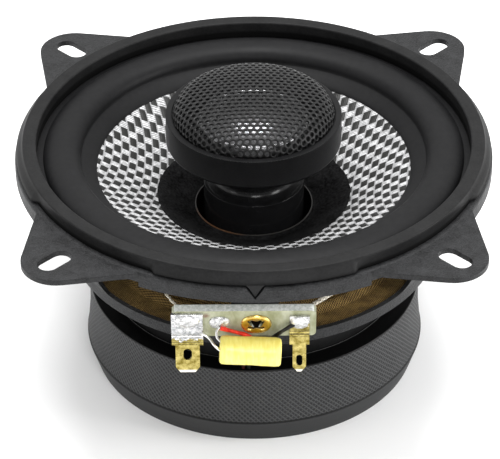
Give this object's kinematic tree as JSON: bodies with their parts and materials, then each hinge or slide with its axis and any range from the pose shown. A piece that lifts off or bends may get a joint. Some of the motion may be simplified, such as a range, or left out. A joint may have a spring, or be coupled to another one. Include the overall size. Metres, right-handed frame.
{
  "type": "coaxial car loudspeaker",
  "caption": "Round coaxial car loudspeaker: pressed basket with slotted ears, woven cone, rubber-booted magnet, and a grilled dome tweeter on a central post.",
  "frame": {"origin": "centre of the underside of the rubber boot on the magnet", "axes": "+Z along the speaker's axis towards the listener; the four ear slots lie on the X and Y axes; the terminals face +X -Y"},
  "size_m": [0.1284, 0.1284, 0.0653],
  "materials": {
    "black_steel": "satin black paint",
    "gasket_rubber": "matte moulded rubber",
    "woven_cone": "silver and black woven cloth, pressed",
    "felt": "matte felt",
    "surround_rubber": "smooth rubber",
    "coil_film": "translucent amber film",
    "copper_wire": "varnished copper",
    "spider_cloth": "resin-stiffened woven cloth",
    "plated_steel": "zinc plated",
    "ferrite": "pressed and ground ferrite",
    "boot_rubber": "fine crosshatched rubber",
    "post_plastic": "smooth black",
    "brass_parts": "bright",
    "tweeter_plastic": "fine matte black",
    "grille_steel": "satin black paint",
    "nickel": "nickel plated",
    "foot_rubber": "soft matte rubber",
    "dome_film": "thin bright film",
    "board_laminate": "phenolic laminate",
    "plated_brass": "plated",
    "capacitor_sleeve": "shrink sleeve",
    "tinned_wire": "tinned",
    "solder": "bright solder",
    "red_insulation": "smooth PVC",
    "black_insulation": "smooth PVC",
    "tinsel_braid": "woven tinsel and cotton"
  },
  "bodies": {
    "chassis": {"basket": "black_steel", "gasket": "gasket_rubber", "surround": "surround_rubber", "spider": "spider_cloth", "top_plate": "black_steel", "magnet": "ferrite", "yoke": "plated_steel", "magnet_boot": "boot_rubber", "basket_rivets": "plated_steel", "tweeter_post": "post_plastic", "post_nut": "brass_parts", "tweeter_housing": "tweeter_plastic", "tweeter_grille": "grille_steel", "tweeter_yoke_cup": "plated_steel", "tweeter_magnet": "nickel", "tweeter_pole_plate": "plated_steel", "tweeter_faceplate": "tweeter_plastic", "tweeter_motor_feet": "foot_rubber", "tweeter_surround": "dome_film", "terminal_board": "board_laminate", "board_rivet": "brass_parts", "positive_tab": "plated_brass", "negative_tab": "plated_brass", "capacitor": "capacitor_sleeve", "capacitor_leads": "tinned_wire", "solder_joints": "solder", "tweeter_wire_red": "red_insulation", "tweeter_wire_black": "black_insulation", "tweeter_tags": "plated_brass", "tinsel_lead_left": "tinsel_braid", "tinsel_lead_right": "tinsel_braid"},
    "cone_assembly": {"cone": "woven_cone", "cone_damping_ring": "felt", "voice_coil_former": "coil_film", "voice_coil_winding": "copper_wire", "lead_eyelets": "brass_parts"},
    "tweeter_diaphragm": {"tweeter_dome": "dome_film", "tweeter_coil": "copper_wire"}
  },
  "joints": [
    {"name": "cone_slide", "type": "slide", "parent": "chassis", "child": "cone_assembly", "axis": [0, 0, 1], "range_m": [-0.003, 0.003], "stiffness_N_per_m": 1250, "deforming": ["surround", "spider", "tinsel_lead_left", "tinsel_lead_right"]},
    {"name": "tweeter_slide", "type": "slide", "parent": "chassis", "child": "tweeter_diaphragm", "axis": [0, 0, 1], "range_m": [-0.00025, 0.00025], "stiffness_N_per_m": 2000, "deforming": ["tweeter_surround"]}
  ]
}
